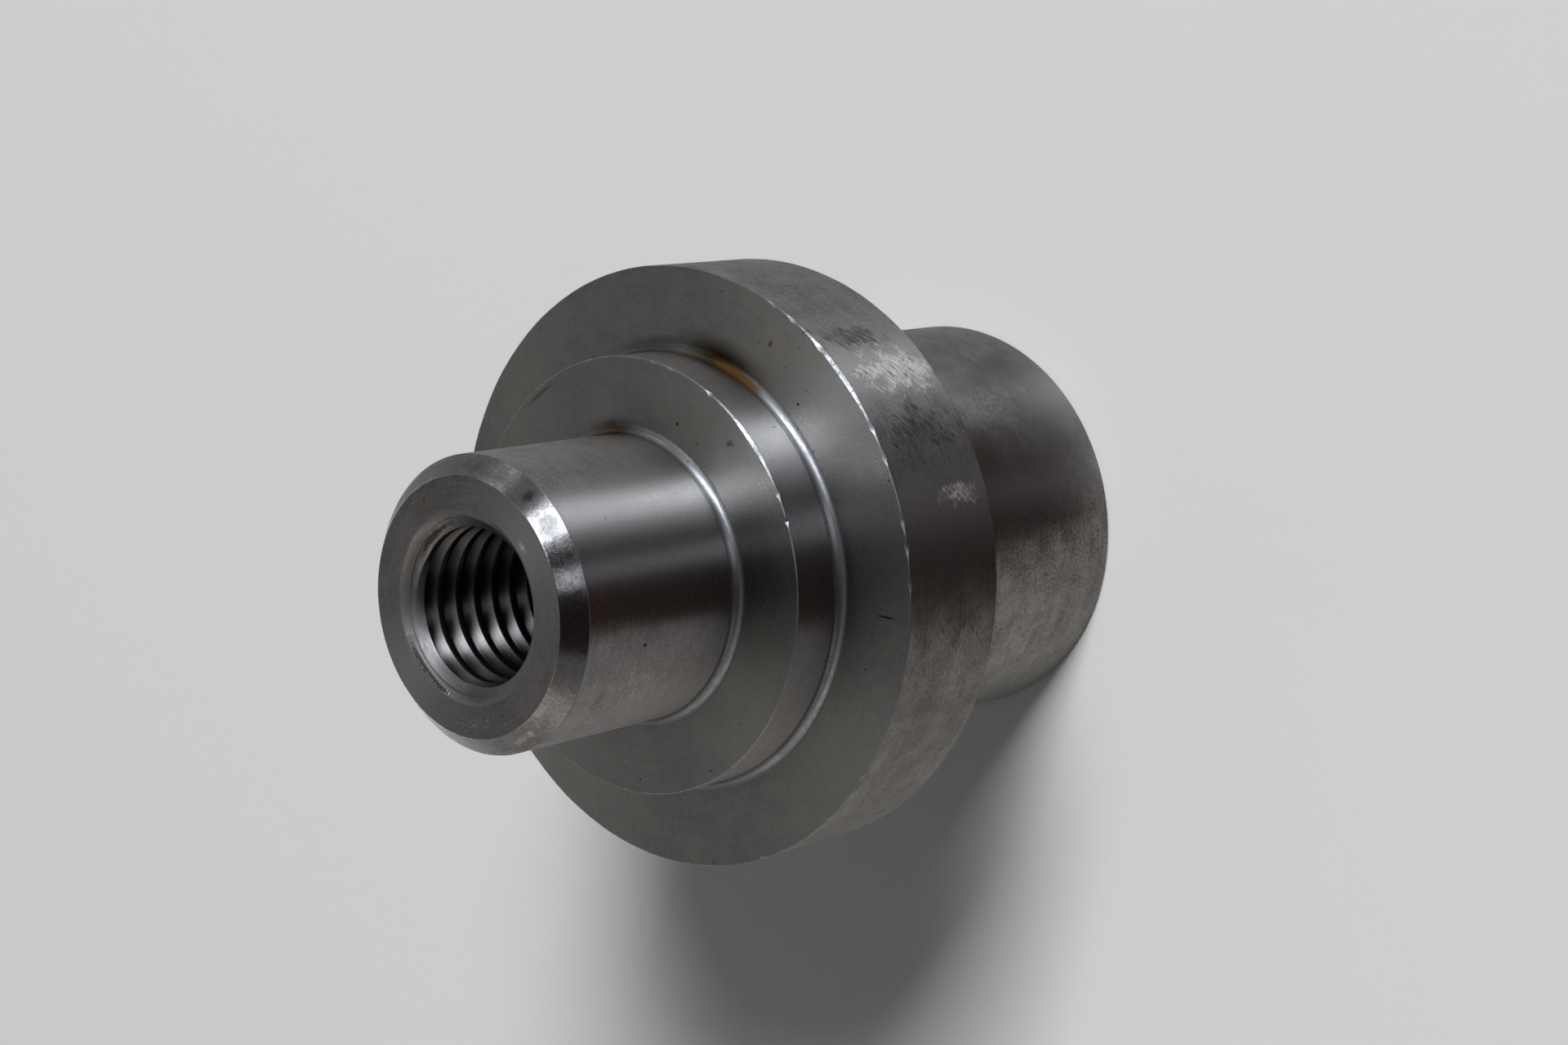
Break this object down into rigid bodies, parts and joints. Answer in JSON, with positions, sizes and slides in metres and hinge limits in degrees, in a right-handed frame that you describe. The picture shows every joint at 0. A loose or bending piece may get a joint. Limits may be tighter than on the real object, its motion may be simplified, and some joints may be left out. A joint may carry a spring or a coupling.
{
  "type": "turned flange body",
  "caption": "Round turned steel body with a wide flange, a plain shank behind it, a short shoulder and a chamfered spigot in front, and a blind tapped hole in the nose.",
  "frame": {"origin": "centre of the shank's end face, which the part stands on", "axes": "+Z along the turning axis, from the shank's end to the nose; X and Y are free, because the part is round"},
  "size_m": [0.064, 0.064, 0.0785],
  "materials": {
    "turned_steel": "fine turned, bare and lightly oiled"
  },
  "bodies": {
    "root": {"turned_body": "turned_steel"}
  },
  "joints": []
}
